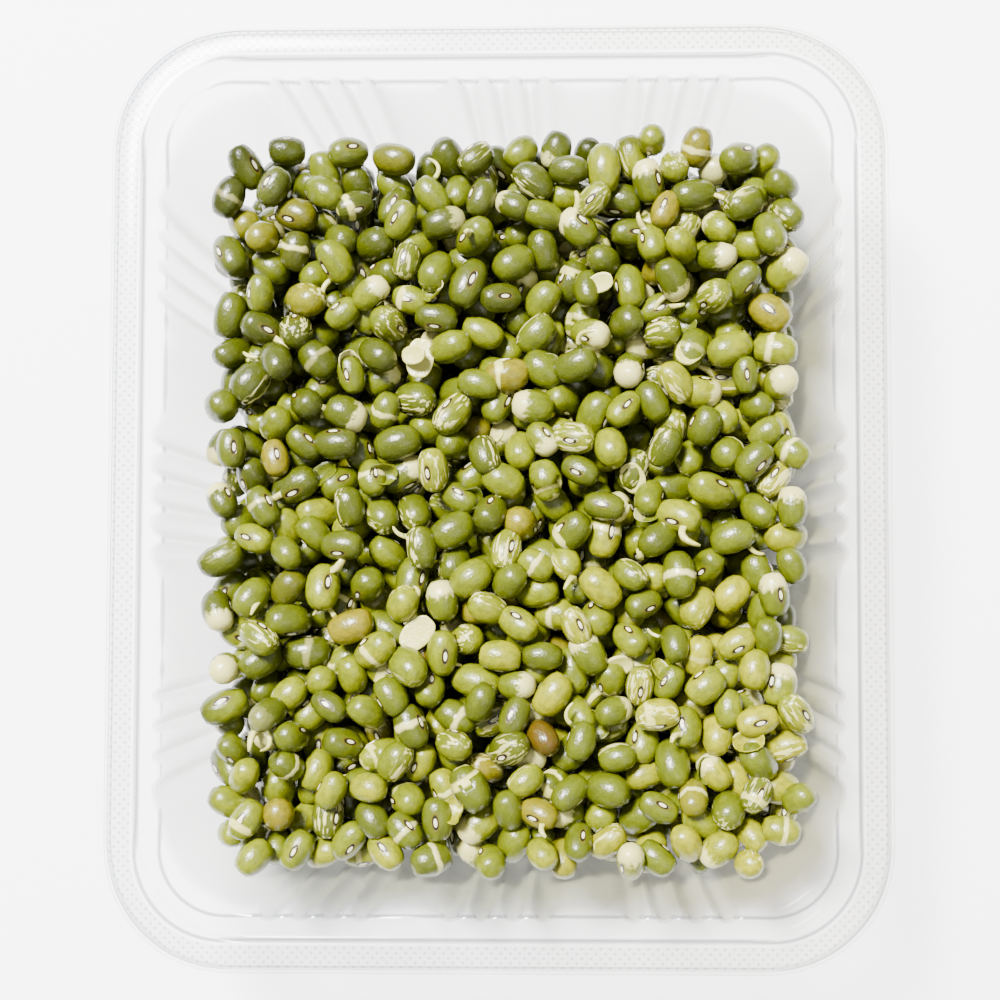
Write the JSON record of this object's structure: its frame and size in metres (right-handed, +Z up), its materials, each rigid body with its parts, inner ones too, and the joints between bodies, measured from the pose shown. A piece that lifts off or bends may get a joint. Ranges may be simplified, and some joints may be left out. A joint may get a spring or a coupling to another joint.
{
  "type": "tray of sprouted mung beans",
  "caption": "Clear open food tray with a fluted wall and a flat sealing flange, filled with damp mung beans that have just begun to sprout",
  "frame": {"origin": "the middle of the tray's flat base, on the surface it stands on", "axes": "+Y along the tray's long side, +X along its short side, +Z up out of the open top"},
  "size_m": [0.114, 0.138, 0.036],
  "materials": {
    "clear_sheet": "clear thermoformed sheet, polished, with a fine dotted grain on the sealing flange",
    "green_skin": "damp olive-green seed coat with a soft sheen, split and striped with cream in places",
    "yellow_skin": "damp yellow-green seed coat with a soft sheen",
    "brown_skin": "damp brown seed coat with a soft sheen",
    "cream_flesh": "smooth moist cream flesh"
  },
  "bodies": {
    "root": {"tray": "clear_sheet", "bean_bed": "green_skin", "seed_half_17": "cream_flesh", "seed_half_38": "cream_flesh", "sprouted_bean_01": "yellow_skin", "sprouted_bean_02": "yellow_skin", "sprouted_bean_03": "green_skin", "sprouted_bean_04": "green_skin", "sprouted_bean_05": "green_skin", "sprouted_bean_06": "green_skin", "sprouted_bean_07": "green_skin", "sprouted_bean_08": "green_skin", "sprouted_bean_09": "green_skin", "sprouted_bean_10": "green_skin", "sprouted_bean_11": "green_skin", "sprouted_bean_12": "green_skin", "sprouted_bean_13": "yellow_skin", "sprouted_bean_14": "yellow_skin", "sprouted_bean_15": "yellow_skin", "sprouted_bean_16": "brown_skin", "sprouted_bean_18": "yellow_skin", "sprouted_bean_19": "yellow_skin", "sprouted_bean_20": "green_skin", "sprouted_bean_21": "yellow_skin", "sprouted_bean_22": "yellow_skin", "sprouted_bean_23": "green_skin", "sprouted_bean_24": "green_skin", "sprouted_bean_25": "yellow_skin", "sprouted_bean_26": "green_skin", "sprouted_bean_27": "green_skin", "sprouted_bean_28": "green_skin", "sprouted_bean_29": "brown_skin", "sprouted_bean_30": "green_skin", "sprouted_bean_31": "yellow_skin", "sprouted_bean_32": "green_skin", "sprouted_bean_33": "green_skin", "sprouted_bean_34": "green_skin", "sprouted_bean_35": "green_skin", "sprouted_bean_36": "green_skin", "sprouted_bean_37": "yellow_skin", "sprouted_bean_39": "brown_skin", "sprouted_bean_40": "green_skin", "sprouted_bean_41": "yellow_skin", "sprouted_bean_42": "green_skin", "sprouted_bean_43": "yellow_skin", "sprouted_bean_44": "yellow_skin", "sprouted_bean_45": "yellow_skin", "sprouted_bean_46": "green_skin", "sprouted_bean_47": "green_skin", "sprouted_bean_48": "green_skin", "sprouted_bean_49": "green_skin", "sprouted_bean_50": "green_skin", "sprouted_bean_51": "green_skin", "sprouted_bean_52": "yellow_skin", "sprouted_bean_53": "green_skin", "sprouted_bean_54": "yellow_skin", "sprouted_bean_55": "brown_skin", "sprouted_bean_56": "green_skin"}
  },
  "joints": []
}
